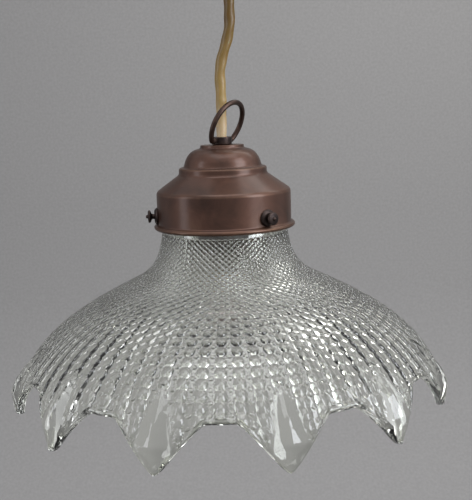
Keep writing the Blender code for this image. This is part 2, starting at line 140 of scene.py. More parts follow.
def patinated_brass():
    """Brass browned with liver of sulphur and waxed: a satin red-brown, rubbed to copper on the edges."""
    material, tree, shader, place = new_material("patinated_brass")
    clouding = {"Scale": per_metre(22.2), "Detail": 6.0, "Roughness": 0.62, "Distortion": 0.6}
    cloud = add_node(tree, "ShaderNodeTexNoise", {"Vector": place, **clouding})
    brown = add_node(
        tree,
        "ShaderNodeValToRGB",
        {"Fac": cloud.outputs["Fac"]},
        [(0.30, linear("38251c")), (0.52, linear("4b3227")), (0.72, linear("583f32"))],
    )
    worn = add_node(tree, "ShaderNodeAttribute", attribute_name="worn")
    scuff = add_node(tree, "ShaderNodeTexNoise", {"Vector": place, "Scale": per_metre(3.85), "Detail": 3.0})
    rubbed = add_node(
        tree, "ShaderNodeMath", {0: worn.outputs["Fac"], 1: scuff.outputs["Fac"]}, operation="MULTIPLY"
    )
    colour = add_node(
        tree,
        "ShaderNodeMix",
        {MIX_FACTOR: rubbed.outputs[0], MIX_A: brown.outputs["Color"], MIX_B: linear("86684f")},
        data_type="RGBA",
    )
    rough = add_node(
        tree,
        "ShaderNodeMapRange",
        {"Value": cloud.outputs["Fac"], **NOISE_SPAN, "To Min": 0.46, "To Max": 0.56},
    )
    # The grain under the wax is finer than this, which is as coarse as it needs to be to show
    grain = add_node(tree, "ShaderNodeTexNoise", {"Vector": place, "Scale": per_metre(1.11), "Detail": 2.0})
    skin = add_node(
        tree, "ShaderNodeBump", {"Strength": 0.06, "Distance": GRAIN_DEPTH, "Height": grain.outputs["Fac"]}
    )
    tree.links.new(colour.outputs[MIX_RESULT], shader.inputs["Base Color"])
    tree.links.new(rough.outputs[0], shader.inputs["Roughness"])
    tree.links.new(skin.outputs[0], shader.inputs["Normal"])
    shader.inputs["Metallic"].default_value = 0.8
    shader.inputs["Coat Weight"].default_value = 0.3
    shader.inputs["Coat Roughness"].default_value = 0.22
    return material


def blackened_brass():
    """Brass toned nearly black: small parts that are handled, dark bronze where the tone has rubbed thin."""
    material, tree, shader, place = new_material("blackened_brass")
    clouding = {"Scale": per_metre(4.55), "Detail": 5.0, "Roughness": 0.6}
    cloud = add_node(tree, "ShaderNodeTexNoise", {"Vector": place, **clouding})
    tone = add_node(
        tree,
        "ShaderNodeValToRGB",
        {"Fac": cloud.outputs["Fac"]},
        [(0.35, linear("282120")), (0.6, linear("352c29"))],
    )
    worn = add_node(tree, "ShaderNodeAttribute", attribute_name="worn")
    rubbed = add_node(
        tree, "ShaderNodeMath", {0: worn.outputs["Fac"], 1: cloud.outputs["Fac"]}, operation="MULTIPLY"
    )
    colour = add_node(
        tree,
        "ShaderNodeMix",
        {MIX_FACTOR: rubbed.outputs[0], MIX_A: tone.outputs["Color"], MIX_B: linear("5c463b")},
        data_type="RGBA",
    )
    rough = add_node(
        tree,
        "ShaderNodeMapRange",
        {"Value": cloud.outputs["Fac"], **NOISE_SPAN, "To Min": 0.36, "To Max": 0.5},
    )
    tree.links.new(colour.outputs[MIX_RESULT], shader.inputs["Base Color"])
    tree.links.new(rough.outputs[0], shader.inputs["Roughness"])
    shader.inputs["Metallic"].default_value = 0.85
    return material


def hobnails(tree, shift, form_name):
    """Height in metres of one lattice of domes, from the column and row on the UV map, and from the form that
    the mesh stores: how fast a dome falls across and along its column, and how tall it is."""
    middle, roundness = 0.5, 0.55  # a power of 0.5 would draw a ball's profile and 1 a parabola's
    moved = middle + shift
    columns_rows = add_node(tree, "ShaderNodeUVMap", uv_map="columns_rows").outputs[0]
    lattice = add_node(tree, "ShaderNodeVectorMath", {0: columns_rows, 1: (moved, moved, 0)})
    cell = add_node(tree, "ShaderNodeVectorMath", {0: lattice.outputs[0]}, operation="FRACTION").outputs[0]
    away = add_node(
        tree, "ShaderNodeVectorMath", {0: cell, 1: (middle, middle, 0)}, operation="SUBTRACT"
    ).outputs[0]
    square = add_node(tree, "ShaderNodeVectorMath", {0: away, 1: away}, operation="MULTIPLY").outputs[0]
    form = add_node(tree, "ShaderNodeAttribute", attribute_name=form_name).outputs["Vector"]
    falls = add_node(tree, "ShaderNodeVectorMath", {0: form, 1: (1, 1, 0)}, operation="MULTIPLY").outputs[0]
    fall = add_node(
        tree, "ShaderNodeVectorMath", {0: square, 1: falls}, operation="DOT_PRODUCT"
    ).outputs["Value"]
    left = add_node(
        tree, "ShaderNodeMath", {0: 1.0, 1: fall}, operation="SUBTRACT", use_clamp=True
    ).outputs[0]
    dome = add_node(tree, "ShaderNodeMath", {0: left, 1: roundness}, operation="POWER").outputs[0]
    tall = add_node(tree, "ShaderNodeSeparateXYZ", {0: form}).outputs["Z"]
    return add_node(tree, "ShaderNodeMath", {0: dome, 1: tall}, operation="MULTIPLY").outputs[0]


def pressed_glass():
    """Clear soda-lime glass, pressed in an iron mould and fire-polished, with the faint green of its iron.
    Round hobnails stand in columns with small studs between them, and each one is a lens of its own."""
    material, tree, shader, place = new_material("pressed_glass")
    nails = hobnails(tree, 0.0, "hobnail")
    studs = hobnails(tree, 0.5, "stud")
    pattern = add_node(tree, "ShaderNodeMath", {0: nails, 1: studs}, operation="MAXIMUM").outputs[0]
    flow = add_node(tree, "ShaderNodeTexNoise", {"Vector": place, "Scale": per_metre(11.11), "Detail": 2.0})
    flow_height = 0.25 * MM  # the uneven flow of the glass where it was pressed
    waves = add_node(
        tree, "ShaderNodeMath", {0: flow.outputs["Fac"], 1: flow_height, 2: pattern}, operation="MULTIPLY_ADD"
    )
    skin = add_node(tree, "ShaderNodeBump", {"Strength": 1.0, "Distance": 1.0, "Height": waves.outputs[0]})
    tree.links.new(skin.outputs[0], shader.inputs["Normal"])
    shader.inputs["Base Color"].default_value = linear("f8faf2")
    shader.inputs["Transmission Weight"].default_value = 1.0
    shader.inputs["Roughness"].default_value = 0.0
    shader.inputs["IOR"].default_value = 1.51
    return material


def aged_flex():
    """A PVC sheath over two twisted cores, once ivory and yellowed to tan, with painted shade that darkens it
    upwards towards the ceiling.
    """
    material, tree, shader, place = new_material("aged_flex")
    # painted shade: between these two heights the sheath is drawn darker upwards, for the shade it hangs in
    # under the ceiling
    lit_at, shaded_at = 54, 137  # heights above the rim
    height = add_node(tree, "ShaderNodeSeparateXYZ", {0: place}).outputs["Z"]
    lengthwise = {"From Min": (lit_at + RIM_Z) * MM, "From Max": (shaded_at + RIM_Z) * MM}
    up = add_node(tree, "ShaderNodeMapRange", {"Value": height, **lengthwise})
    cloud = add_node(tree, "ShaderNodeTexNoise", {"Vector": place, "Scale": per_metre(6.25), "Detail": 4.0})
    # the sheath's random tone, added to the painted shade that grows with height
    tone_and_shade = add_node(
        tree, "ShaderNodeMath", {0: cloud.outputs["Fac"], 1: 0.3, 2: up.outputs[0]}, operation="MULTIPLY_ADD"
    )
    tint = add_node(
        tree,
        "ShaderNodeValToRGB",
        {"Fac": tone_and_shade.outputs[0]},
        [(0.12, linear("b29c7b")), (0.5, linear("8c733f")), (1.0, linear("5c430c"))],
    )
    tree.links.new(tint.outputs["Color"], shader.inputs["Base Color"])
    shader.inputs["Roughness"].default_value = 0.42
    shader.inputs["Subsurface Weight"].default_value = 0.1
    shader.inputs["Subsurface Scale"].default_value = 2 * MM
    return material


def plain_finish(name, low, high, roughness, metallic, cloud_size):
    """A finish that clouds between two near tones. Its roughness and a slight skin follow the clouds."""
    material, tree, shader, place = new_material(name)
    clouding = {"Scale": per_metre(cloud_size), "Detail": 4.0}
    cloud = add_node(tree, "ShaderNodeTexNoise", {"Vector": place, **clouding})
    tone = add_node(
        tree, "ShaderNodeValToRGB", {"Fac": cloud.outputs["Fac"]}, [(0.35, linear(low)), (0.65, linear(high))]
    )
    rough = add_node(
        tree,
        "ShaderNodeMapRange",
        {"Value": cloud.outputs["Fac"], **NOISE_SPAN, "To Min": roughness * 0.85, "To Max": roughness * 1.2},
    )
    skin = add_node(
        tree, "ShaderNodeBump", {"Strength": 0.03, "Distance": GRAIN_DEPTH, "Height": cloud.outputs["Fac"]}
    )
    tree.links.new(tone.outputs["Color"], shader.inputs["Base Color"])
    tree.links.new(rough.outputs[0], shader.inputs["Roughness"])
    tree.links.new(skin.outputs[0], shader.inputs["Normal"])
    shader.inputs["Metallic"].default_value = metallic
    return material


finishes = {
    "patinated_brass": patinated_brass(),
    "blackened_brass": blackened_brass(),
    "pressed_glass": pressed_glass(),
    "aged_flex": aged_flex(),
    # Drawn brass, never lacquered: yellow, with clouds of light tarnish
    "bright_brass": plain_finish("bright_brass", "a98a4c", "c8a969", 0.3, 1.0, 7.69),
    # Zinc-plated steel: a cool grey, with the cloudy spangle of the plating
    "zinc_steel": plain_finish("zinc_steel", "8a8d90", "a4a7a9", 0.38, 1.0, 5.56),
    # Glazed electrical porcelain: glossy, a warm white that deepens where the glaze is thick
    "porcelain": plain_finish("porcelain", "ded8ca", "ebe6da", 0.18, 0.0, 16.7),
    # Moulded phenolic filled with wood flour: brown-black and faintly mottled, with a dulled polish
    "bakelite": plain_finish("bakelite", "2e241d", "40332a", 0.3, 0.0, 9.09),
    # Extruded PVC on the cores of the flex, satin, in their two colours
    "brown_core": plain_finish("brown_core", "4e2c1b", "643923", 0.4, 0.0, 3.33),
    "blue_core": plain_finish("blue_core", "214569", "2b5884", 0.4, 0.0, 3.33),
}


def finish_with(piece, slot):
    """Gives a piece the finish of a material slot in the record, and no other."""
    piece.data.materials.clear()
    piece.data.materials.append(finishes[slot])


for row in frame["record"]["subparts"]:
    finish_with(frame["nodes"][row["node"]], row["material_slot"])


# Modelling tools


def select_only(piece):
    """Selects one piece, and makes it the one that the operators work on."""
    for other in bpy.context.selected_objects:
        other.select_set(False)
    piece.select_set(True)
    bpy.context.view_layer.objects.active = piece


def face_out(piece, merge=0.0):
    """Points a piece's faces outwards, once its points closer than a distance in metres are merged."""
    select_only(piece)
    bpy.ops.object.mode_set(mode="EDIT")
    bpy.ops.mesh.select_all(action="SELECT")
    if merge:
        bpy.ops.mesh.remove_doubles(threshold=merge)
        bpy.ops.mesh.select_all(action="SELECT")
    bpy.ops.mesh.normals_make_consistent(inside=False)
    bpy.ops.object.mode_set(mode="OBJECT")


def rounded(outline, corner, steps=3):
    """The outline with each corner made a small curve, which takes less than half of the sides it joins."""
    points = [Vector(point) for point in outline]
    too_small = 1e-6
    made = []
    for before, point, after in zip(points[-1:] + points[:-1], points, points[1:] + points[:1]):
        back, on = before - point, after - point
        reach = min(corner, back.length * 0.45, on.length * 0.45)
        if point.x < too_small or reach < too_small:
            made.append(point)
            continue
        first, last = point + back.normalized() * reach, point + on.normalized() * reach
        for step in range(steps + 1):
            t = step / steps
            made.append(first * (1 - t) ** 2 + point * 2 * t * (1 - t) + last * t**2)
    return made


def mark_worn(piece):
    """Stores how convex the surface is at each vertex, 0 to 1: patina wears off where a cloth reaches."""
    bare_from, bare_span = 0.05, 0.2  # the sine of the slope away from a vertex
    mesh = piece.data
    places = np.zeros(len(mesh.vertices) * 3)
    mesh.vertices.foreach_get("co", places)
    places = places.reshape(-1, 3)
    normals = np.zeros(len(mesh.vertices) * 3)
    mesh.vertex_normals.foreach_get("vector", normals)
    normals = normals.reshape(-1, 3)
    ends = np.zeros(len(mesh.edges) * 2, int)
    mesh.edges.foreach_get("vertices", ends)
    ends = ends.reshape(-1, 2)
    steps = places[ends[:, 1]] - places[ends[:, 0]]
    steps /= np.maximum(np.linalg.norm(steps, axis=1), 1e-9)[:, None]
    convex = np.zeros(len(places))
    np.maximum.at(convex, ends[:, 0], -(steps * normals[ends[:, 0]]).sum(axis=1))
    np.maximum.at(convex, ends[:, 1], (steps * normals[ends[:, 1]]).sum(axis=1))
    worn = mesh.attributes.new("worn", "FLOAT", "POINT")
    worn.data.foreach_set("value", np.clip((convex - bare_from) / bare_span, 0, 1).astype(np.float32))


def turned(name, outline, segments=96, corner=0.25, base=(0, 0, 0), direction=(0, 0, 1)):
    """A piece turned on a lathe: its outline of (radius, height) is spun about its axis, and the piece is set
    at its base with its axis in a direction. An outline that starts on the axis ends on it too."""
    points = rounded([(*point, 0) for point in outline], corner)
    bpy.ops.mesh.primitive_circle_add(vertices=len(points), radius=MM)
    piece = bpy.context.object
    piece.name = piece.data.name = name
    for vertex, point in zip(piece.data.vertices, points):
        vertex.co = (point.x * MM, 0, point.y * MM)
    select_only(piece)
    bpy.ops.object.mode_set(mode="EDIT")
    bpy.ops.mesh.select_all(action="SELECT")
    bpy.ops.mesh.spin(steps=segments, angle=2 * pi, center=(0, 0, 0), axis=(0, 0, 1))
    bpy.ops.mesh.select_all(action="SELECT")
    bpy.ops.mesh.remove_doubles(threshold=0.001 * MM)
    bpy.ops.mesh.delete_loose(use_faces=False)
    bpy.ops.mesh.select_all(action="SELECT")
    bpy.ops.mesh.normals_make_consistent(inside=False)
    bpy.ops.object.mode_set(mode="OBJECT")
    if outline[0][0] == 0:
        drop_axis_wire(piece)
    bpy.ops.object.shade_smooth_by_angle(angle=radians(35))
    piece.rotation_mode = "QUATERNION"
    piece.rotation_quaternion = Vector(direction).to_track_quat("Z", "Y")
    piece.location = Vector(base) * MM
    bpy.ops.object.transform_apply(location=True, rotation=True, scale=True)
    mark_worn(piece)
    return piece


def drop_axis_wire(piece):
    """Takes away the side that closes an outline along the axis, which spinning leaves inside the piece."""
    select_only(piece)
    bpy.ops.object.mode_set(mode="EDIT")
    bpy.ops.mesh.select_all(action="DESELECT")
    bpy.ops.object.mode_set(mode="OBJECT")
    for edge in piece.data.edges:
        ends = [piece.data.vertices[i].co for i in edge.vertices]
        edge.select = all(abs(end.x) + abs(end.y) < 0.0001 * MM for end in ends)
    bpy.ops.object.mode_set(mode="EDIT")
    bpy.ops.mesh.delete(type="EDGE")
    bpy.ops.object.mode_set(mode="OBJECT")


def settle(piece, body, slot, *nodes):
    """Finishes a new piece: its material, the body it moves with and the CAD nodes that it stands for."""
    finish_with(piece, slot)
    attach(piece, body)
    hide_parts(*nodes)


def lamp(outline):
    """An outline's heights above the gallery's rim, made heights above the ceiling."""
    return [(radius, height + RIM_Z) for radius, height in outline]


def outward(azimuth):
    """The level direction away from the lamp's axis, from the front towards +X."""
    return Vector((sin(azimuth), -cos(azimuth), 0))


# Flex

FLEX_RADIUS = 3.4
CORE_SWELL = 0.16  # how far the cores raise and sink the sheath
CORE_TWIST = 2 * pi / 26  # the cores turn once in 26 mm
FLEX_ROUTE = [
    (7.2, 165.6), (7.2, 153), (7.2, 141), (7.3, 131), (7.1, 123), (5.9, 116), (3.6, 108.5), (1.4, 101),
    (0.3, 94), (0.3, 87), (0.5, 79), (0.4, 71), (0.1, 63), (0, 55), (0, 45), (0, 34.6),
]  # fmt: skip


def smooth_route(points, per_span):
    """Points along a smooth curve through the given ones."""
    ends = [points[0] * 2 - points[1], *points, points[-1] * 2 - points[-2]]
    route = []
    for before, start, end, after in zip(ends, ends[1:], ends[2:], ends[3:]):
        for step in range(per_span):
            t = step / per_span
            leave, arrive = (end - before) / 2, (after - start) / 2
            bend = start * (2 * t**3 - 3 * t**2 + 1) + leave * (t**3 - 2 * t**2 + t)
            route.append(bend + end * (3 * t**2 - 2 * t**3) + arrive * (t**3 - t**2))
    return [*route, points[-1]]


def flex():
    """A round sheath that shows its two twisted cores as a faint double helix."""
    route = smooth_route([Vector((x, 0, height + RIM_Z)) for x, height in FLEX_ROUTE], per_span=6)
    rings = len(route) - 1
    bpy.ops.mesh.primitive_cylinder_add(vertices=40, radius=FLEX_RADIUS * MM, depth=rings)
    piece = bpy.context.object
    piece.name = piece.data.name = "flex"
    select_only(piece)
    bpy.ops.object.mode_set(mode="EDIT")
    for cut in range(1, rings):
        bpy.ops.mesh.select_all(action="SELECT")
        bpy.ops.mesh.bisect(plane_co=(0, 0, cut - rings / 2), plane_no=(0, 0, 1))
    bpy.ops.object.mode_set(mode="OBJECT")
    travelled = [0.0]
    for start, end in zip(route, route[1:]):
        travelled.append(travelled[-1] + (end - start).length)
    for vertex in piece.data.vertices:
        ring = round(rings / 2 - vertex.co.z)
        along = (route[min(ring + 1, rings)] - route[max(ring - 1, 0)]).normalized()
        across = Vector((0, 1, 0))
        side = across.cross(along)
        angle = np.arctan2(vertex.co.y, vertex.co.x)
        lobes = CORE_SWELL * cos(2 * (angle - travelled[ring] * CORE_TWIST))
        radius = FLEX_RADIUS - CORE_SWELL + lobes
        vertex.co = (route[ring] + (side * cos(angle) + across * sin(angle)) * radius) * MM
    face_out(piece)
    bpy.ops.object.shade_smooth_by_angle(angle=radians(50))
    finish_with(piece, "aged_flex")
    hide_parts("flex_cord")
    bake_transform(piece)


flex()


# Glass shade

TIPS = 12
TIP_AZIMUTH = 13.2  # degrees, where one of the tips is
WALL = 4.0
BEAD_COLUMNS = 72
SIDES_PER_BEAD = 7
LEVELS_PER_BEAD = 6
ROW_PITCH = 0.0751  # of the radius, down to where it reaches the widest
WIDEST_ROW_PITCH = 6.9
FIRST_ROW_DEPTH = 5.5  # below the rim
FIRST_ROW_EDGE = -0.5  # in rows, above which the neck is bare
TOP_LEVEL = -1.2  # in rows, hidden in the gallery
ROWS_END_DEPTH = 72  # below the rim, where the levels leave the rows and spread to the edge
BEAD_RISE = 0.25  # of a bead's radius, in the mesh
BEAD_RISE_FINE = 0.6  # of a bead's radius, what the material's bump adds
BEAD_SUNK = 0.8  # of a hobnail's rise: how far the ground between the beads lies below the drawn line
BEAD_ROUNDNESS = 0.8  # a power of 0.5 would draw a ball's profile and 1 a parabola's
BEADS_SIZED_AT = [38, 60, 75, 97, 130]  # distance from the axis
HOBNAIL_RADII = [1.3, 1.9, 2.4, 3.1, 3.9]
STUD_RADII = [1.3, 1.7, 1.8, 1.6, 1.4]
STRETCHED_AT = [30, 50, 72, 90]  # below the rim
HOBNAIL_STRETCH = [1.0, 1.15, 1.32, 1.6]
TONGUE_TOP = -84.2  # the edge between two tongues
TONGUE_DROP = 27.6  # from there to a sharp tip
TONGUE_DEPTH = 26.8  # about what rounding leaves of it
TONGUE_HALF = 10.5  # degrees, half of a tongue where it starts
TONGUE_CURVE = 1.2
TIP_BLUNTING = (1.2, 0.8)  # degrees, by which a tip is rounded off, and then moved back out
EDGE_ROUND = 1.6
EDGE_LEVELS = 29  # of the grid, from where the rows end down to the edge
INSIDE_LEVELS = 12
SPEAR_TOP, SPEAR_CREASE, SPEAR_END = -69.0, -95.3, -114.0
SPEAR_THICK = 5.0
SPEAR_HALF = 4.9  # degrees, at the crease
SPEAR_CLEARANCE = (0.1, 0.9)  # degrees beside a spear over which the beads set in
EDGE_CLEARANCE = (0.2, 2.0)  # and above the edge
SEAM_AZIMUTH = -35.0  # degrees
SEAM_HALF = 0.4  # degrees
SEAM_RISE = 0.5
SEAM_END = -34


def shade_line():
    """The outer side as arrays of radius and height, and of the distance travelled along it."""
    curves = [
        [(39.0, 1.0), (41.4, -19.9), (45.2, -27.1), (60.5, -34.6)],
        [(60.5, -34.6), (101.2, -54.5), (114.5, -64.3), (128.6, -84.4)],
        [(128.6, -84.4), (131.5, -89.0), (135.0, -98.0), (135.2, -111.5)],
    ]
    points_per_curve = 80
    t = np.linspace(0, 1, points_per_curve, endpoint=False)[:, None]
    parts = []
    for a, b, c, d in np.array(curves):
        parts.append(a * (1 - t) ** 3 + 3 * b * t * (1 - t) ** 2 + 3 * c * t**2 * (1 - t) + d * t**3)
    line = np.vstack([*parts, [curves[-1][-1]]])
    travelled = np.concatenate([[0], np.cumsum(np.linalg.norm(np.diff(line, axis=0), axis=1))])
    return line[:, 0], line[:, 1], travelled


def smooth_step(value, low, high):
    """0 up to low, 1 from high on, and an even S between them."""
    t = np.clip((value - low) / (high - low), 0, 1)
    return t * t * (3 - 2 * t)


def bead_forms(radius, height, spacing):
    """For the hobnails and the studs between them: how fast a dome falls across and along, and its radius."""
    pitch = radius * 2 * pi / BEAD_COLUMNS
    hobnail = np.interp(radius, BEADS_SIZED_AT, HOBNAIL_RADII)
    stud = np.interp(radius, BEADS_SIZED_AT, STUD_RADII)
    stretch = np.interp(-height, STRETCHED_AT, HOBNAIL_STRETCH)
    forms = []
    for size, long in ((hobnail, stretch), (stud, 1)):
        forms.append(((pitch / size) ** 2, (spacing / (size * long)) ** 2, size))
    return forms


def bead_relief(column, row, forms):
    """How far the hobnails and studs rise from the ground between them. Studs sit half a cell off."""
    relief = 0
    for (across, along, size), shift in zip(forms, (0.0, 0.5)):
        u = column + shift - np.round(column + shift)
        v = row + shift - np.round(row + shift)
        dome = np.clip(1 - across * u**2 - along * v**2, 0, 1) ** BEAD_ROUNDNESS
        relief = np.maximum(relief, dome * size * BEAD_RISE)
    return relief


def spear_relief(offset, height):
    """The faceted boss on each tongue: a long kite with a ridge, widest and thickest at its crease. Below the
    crease it fills the tongue. Gives its rise, and half of its width in degrees."""
    upper = np.clip((SPEAR_TOP - height) / (SPEAR_TOP - SPEAR_CREASE), 0, 1)
    lower = np.clip((height - SPEAR_END) / (SPEAR_CREASE - SPEAR_END), 0, 1)
    depth = np.clip(TONGUE_TOP - height, 0, TONGUE_DEPTH) / TONGUE_DEPTH
    tongue_half = TONGUE_HALF * (1 - depth ** (1 / TONGUE_CURVE))
    widening, rising, ridging = 0.8, 0.85, 0.75  # powers, which make its flats slightly full
    half = np.where(height > SPEAR_CREASE, SPEAR_HALF * upper**widening, np.maximum(tongue_half, 0.3))
    ridge = np.clip(1 - np.abs(offset) / np.maximum(half, 0.05), 0, 1)
    return SPEAR_THICK * np.minimum(upper**rising, lower) * ridge**ridging, half


def outer_side(azimuth):
    """The beaded side, in levels down from the neck to the edge and sides round it. Gives the plain line as
    (radius, height), its direction outwards, the relief on it, each point's row, the beads' forms, and how
    much of the beads is kept, from 0 to 1."""
    radii, heights, travelled = shade_line()
    spacings = np.minimum(ROW_PITCH * radii, WIDEST_ROW_PITCH)
    rows = np.concatenate([[0], np.cumsum(np.diff(travelled) / spacings[1:])])
    rows -= np.interp(FIRST_ROW_DEPTH, -heights, rows)
    sector = 360 / TIPS
    offset = (azimuth + sector / 2) % sector - sector / 2

    from_tip = np.hypot(offset, TIP_BLUNTING[0]) - TIP_BLUNTING[1]
    edge_height = TONGUE_TOP - TONGUE_DROP * np.clip(1 - from_tip / TONGUE_HALF, 0, 1) ** TONGUE_CURVE
    edge = np.interp(-edge_height, -heights, travelled) - EDGE_ROUND
    last_row = np.interp(ROWS_END_DEPTH, -heights, rows)
    upper = np.interp(np.arange(TOP_LEVEL, last_row, 1 / LEVELS_PER_BEAD), rows, travelled)
    share = np.linspace(0, 1, EDGE_LEVELS + 1)[1:, None]
    lower = upper[-1] + (edge - upper[-1]) * share
    along = np.vstack([np.repeat(upper[:, None], len(azimuth), axis=1), lower])

    radius = np.interp(along, travelled, radii)
    height = np.interp(along, travelled, heights)
    reach = 0.4  # to either side, for the slope
    run = np.interp(along + reach, travelled, radii) - np.interp(along - reach, travelled, radii)
    fall = np.interp(along - reach, travelled, heights) - np.interp(along + reach, travelled, heights)
    line = np.stack([radius, height], -1)
    outwards = np.stack([fall, run], -1) / np.hypot(run, fall)[..., None]

    row = np.interp(along, travelled, rows)
    forms = bead_forms(radius, height, np.interp(along, travelled, spacings))
    column = azimuth * BEAD_COLUMNS / 360
    beads = bead_relief(np.broadcast_to(column, along.shape), row, forms)
    hobnail_rise = forms[0][2] * BEAD_RISE
    spear, spear_half = spear_relief(offset[None, :], height)
    beside_spear = smooth_step(np.abs(offset)[None, :] - spear_half, *SPEAR_CLEARANCE)
    keep = np.where(height < SPEAR_TOP + 0.5, beside_spear, 1.0)
    keep *= smooth_step(edge[None, :] - along, *EDGE_CLEARANCE)
    keep *= smooth_step(row, FIRST_ROW_EDGE - 0.05, FIRST_ROW_EDGE + 0.05)
    from_seam = (azimuth + TIP_AZIMUTH - SEAM_AZIMUTH + 180) % 360 - 180
    on_seam = (np.abs(from_seam) < SEAM_HALF)[None, :] & (height > SEAM_END)
    keep = keep * ~on_seam
    seam = SEAM_RISE * (on_seam & (row > FIRST_ROW_EDGE))
    relief = (beads - BEAD_SUNK * hobnail_rise) * keep + spear + seam
    return line, outwards, relief, row, forms, keep


def edge_and_inside(line, outwards, relief):
    """The levels that close the shell: round the edge, up the smooth inside, and over the neck's lip."""
    last, outer = outwards[-1], line[-1] + outwards[-1] * relief[-1][:, None]
    ahead = np.stack([last[:, 1], -last[:, 0]], -1)
    middle = (outer + line[-1] - last * WALL) / 2
    half = ((relief[-1] + WALL) / 2)[:, None]
    turn = np.linspace(0, pi, 6)[1:-1, None, None]
    edge = middle + last * half * np.cos(turn) + ahead * EDGE_ROUND * np.sin(turn)
    levels = np.round(np.linspace(len(line) - 1, 0, INSIDE_LEVELS)).astype(int)
    inside = line[levels] - outwards[levels] * WALL
    neck = [
        (34.7, 2), (34.5, 8), (34.7, 14.2), (35.6, 15.1), (37.4, 15.3), (39.2, 15.1), (40, 14.3),
        (40.2, 12.6), (39.9, 11.2), (38.7, 10.3), (38.1, 9.3), (38.0, 3.5),
    ]  # fmt: skip
    return np.vstack([edge, inside, np.repeat(np.array(neck)[:, None, :], line.shape[1], axis=1)])


def glass_shade():
    """One skin of glass: a grid rolled into a closed shell, which stores the place and form of its beads."""
    sides = BEAD_COLUMNS * SIDES_PER_BEAD
    azimuth = np.arange(sides) * 360 / sides
    line, outwards, relief, row, forms, keep = outer_side(azimuth)
    shell = np.vstack([line + outwards * relief[..., None], edge_and_inside(line, outwards, relief)])
    bare = np.zeros((len(shell) - len(line), sides))
    rows = np.vstack([row, bare])

    bpy.ops.mesh.primitive_grid_add(x_subdivisions=sides, y_subdivisions=len(shell), size=1)
    piece = bpy.context.object
    piece.name = piece.data.name = "shade"
    flat = np.zeros(len(piece.data.vertices) * 3)
    piece.data.vertices.foreach_get("co", flat)
    flat = flat.reshape(-1, 3) + 0.5
    sides_on = np.round(flat[:, 0] * sides)
    side = sides_on.astype(int) % sides
    level = np.round(flat[:, 1] * len(shell)).astype(int) % len(shell)
    turn = np.radians(azimuth[side] + TIP_AZIMUTH)
    radius, height = shell[level, side].T
    placed = np.column_stack([radius * np.sin(turn), -radius * np.cos(turn), height + RIM_Z]) * MM
    piece.data.vertices.foreach_set("co", placed.ravel())

    for name, (across, fall, size) in zip(("hobnail", "stud"), forms):
        tall = size * BEAD_RISE_FINE * keep * MM
        form = np.stack([np.vstack([part, bare]) for part in (across, fall, tall)], -1)
        layer = piece.data.attributes.new(name, "FLOAT_VECTOR", "POINT")
        layer.data.foreach_set("vector", form[level, side].astype(np.float32).ravel())
    corners = np.zeros(len(piece.data.loops), int)
    piece.data.loops.foreach_get("vertex_index", corners)
    columns_rows = np.column_stack([sides_on / SIDES_PER_BEAD, rows[level, side]])[corners]
    piece.data.uv_layers[0].name = "columns_rows"
    piece.data.uv_layers[0].data.foreach_set("uv", columns_rows.astype(np.float32).ravel())
    face_out(piece, merge=0.0005 * MM)
    bpy.ops.object.shade_smooth()
    settle(piece, "pendant", "pressed_glass", "glass_shade")


glass_shade()


# Gallery, collar and bail


def gallery():
    """Spun from sheet: a flat crown, a dome, a raised band, a cone, the wall and a rolled bead."""
    outer = [
        (5.4, 50.0), (13.4, 50.0), (13.6, 49.7), (13.7, 48.5), (14.6, 47.9), (17.6, 47.1), (20.2, 45.5),
        (22.1, 43.2), (23.4, 40.6), (24.0, 38.4), (24.5, 37.0), (25.3, 36.5), (26.9, 36.3), (27.5, 35.6),
        (27.6, 32.9), (28.3, 31.7), (41.4, 22.4), (42.2, 20.9), (42.2, 2.0), (43.0, 1.5), (44.0, 1.1),
        (44.6, 0.1), (44.3, -0.9), (43.3, -1.6), (42.4, -1.3),
    ]  # fmt: skip
    inner = [
        (41.2, -0.2), (41.2, 20.4), (26.6, 31.1), (26.5, 35.2), (23.6, 35.4), (22.4, 40.8), (20.4, 43.8),
        (17.7, 45.7), (12.6, 47.4), (12.6, 49.0), (5.4, 49.0),
    ]  # fmt: skip
    piece = turned("gallery_shell", lamp(outer + inner), segments=144, corner=0.9)
    settle(piece, "pendant", "patinated_brass", "gallery")


def collar():
    """The threaded collar on the crown: its waist holds the ring, and the flex goes down its bore."""
    outline = [(3.8, 54.9), (6.0, 54.9), (6.25, 54.6), (6.25, 50.3), (4.9, 50.3), (4.9, 38.5), (3.8, 38.5)]
    piece = turned("collar", lamp(outline), segments=72, corner=0.35)
    settle(piece, "pendant", "blackened_brass", "ring_collar")


BAIL_PIVOT = 52.6
BAIL_AZIMUTH = radians(57)
BAIL_LEAN = radians(24.6)
BAIL_RADIUS = 15.1
BAIL_WIRE = 1.6  # radius
BAIL_END = 0.72  # of the wire's thickness, where it enters the collar


